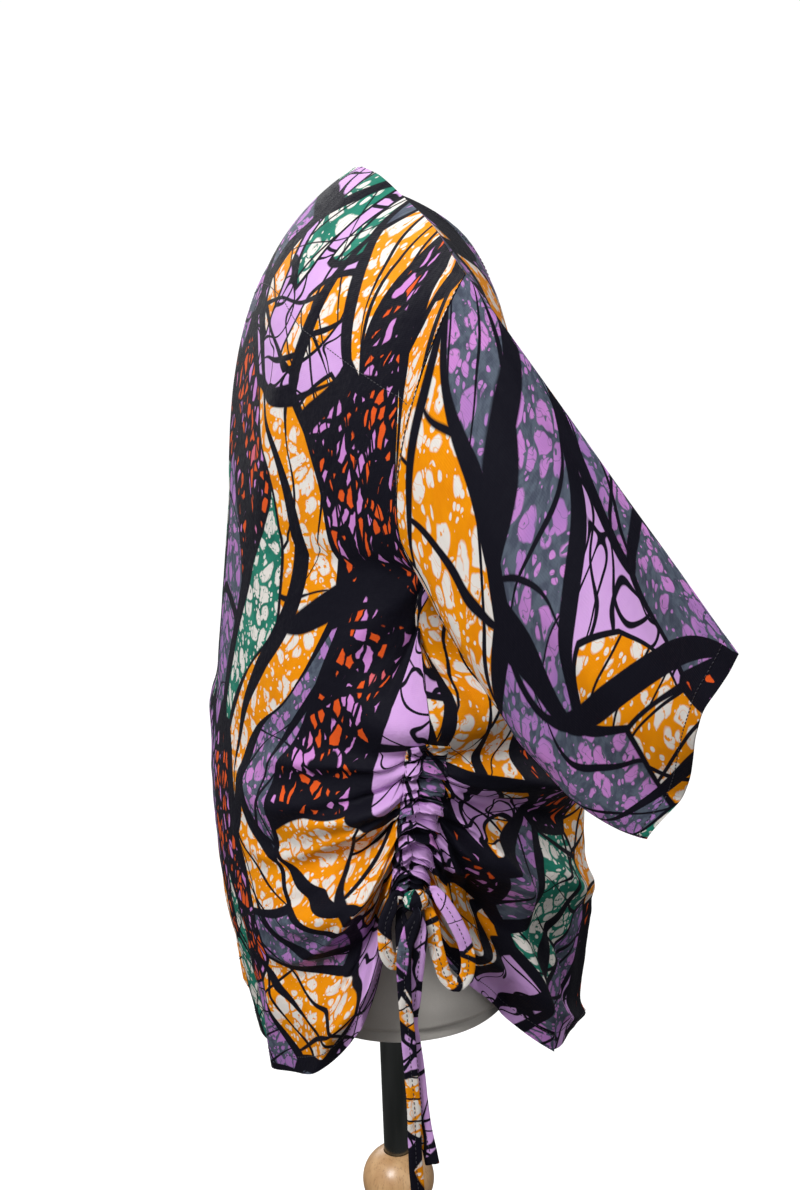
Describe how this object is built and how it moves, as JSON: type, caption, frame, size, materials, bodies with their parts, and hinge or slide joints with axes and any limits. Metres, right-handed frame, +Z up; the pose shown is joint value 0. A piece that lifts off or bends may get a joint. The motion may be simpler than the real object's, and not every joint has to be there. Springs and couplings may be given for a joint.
{
  "type": "kimono jacket on a limbless dress form and stand",
  "caption": "Boxy open-front kimono jacket with wide elbow sleeves and ruched drawstring side seams, worn by a limbless dress form on a pole stand.",
  "frame": {"origin": "centre of the underside of the base disc, on the floor", "axes": "+Z up; -Y out of the front of the jacket; +X to the wearer's left"},
  "size_m": [0.9, 0.4, 1.4237],
  "materials": {
    "print_cotton": "matte printed cotton",
    "form_cloth": "matte woven cover",
    "pole_chrome": "polished",
    "stand_wood": "satin varnish"
  },
  "bodies": {
    "root": {"back": "print_cotton", "front_right": "print_cotton", "front_left": "print_cotton", "sleeve_right": "print_cotton", "sleeve_left": "print_cotton", "casing_right": "print_cotton", "casing_left": "print_cotton", "drawstring_right_knot": "print_cotton", "drawstring_right_loop_back": "print_cotton", "drawstring_right_loop_front": "print_cotton", "drawstring_right_tail_back": "print_cotton", "drawstring_right_tail_front": "print_cotton", "drawstring_left_knot": "print_cotton", "drawstring_left_loop_back": "print_cotton", "drawstring_left_loop_front": "print_cotton", "drawstring_left_tail_back": "print_cotton", "drawstring_left_tail_front": "print_cotton", "form_torso": "form_cloth", "form_rim": "form_cloth", "pole": "pole_chrome", "hub": "stand_wood", "column": "stand_wood", "base": "stand_wood"}
  },
  "joints": []
}
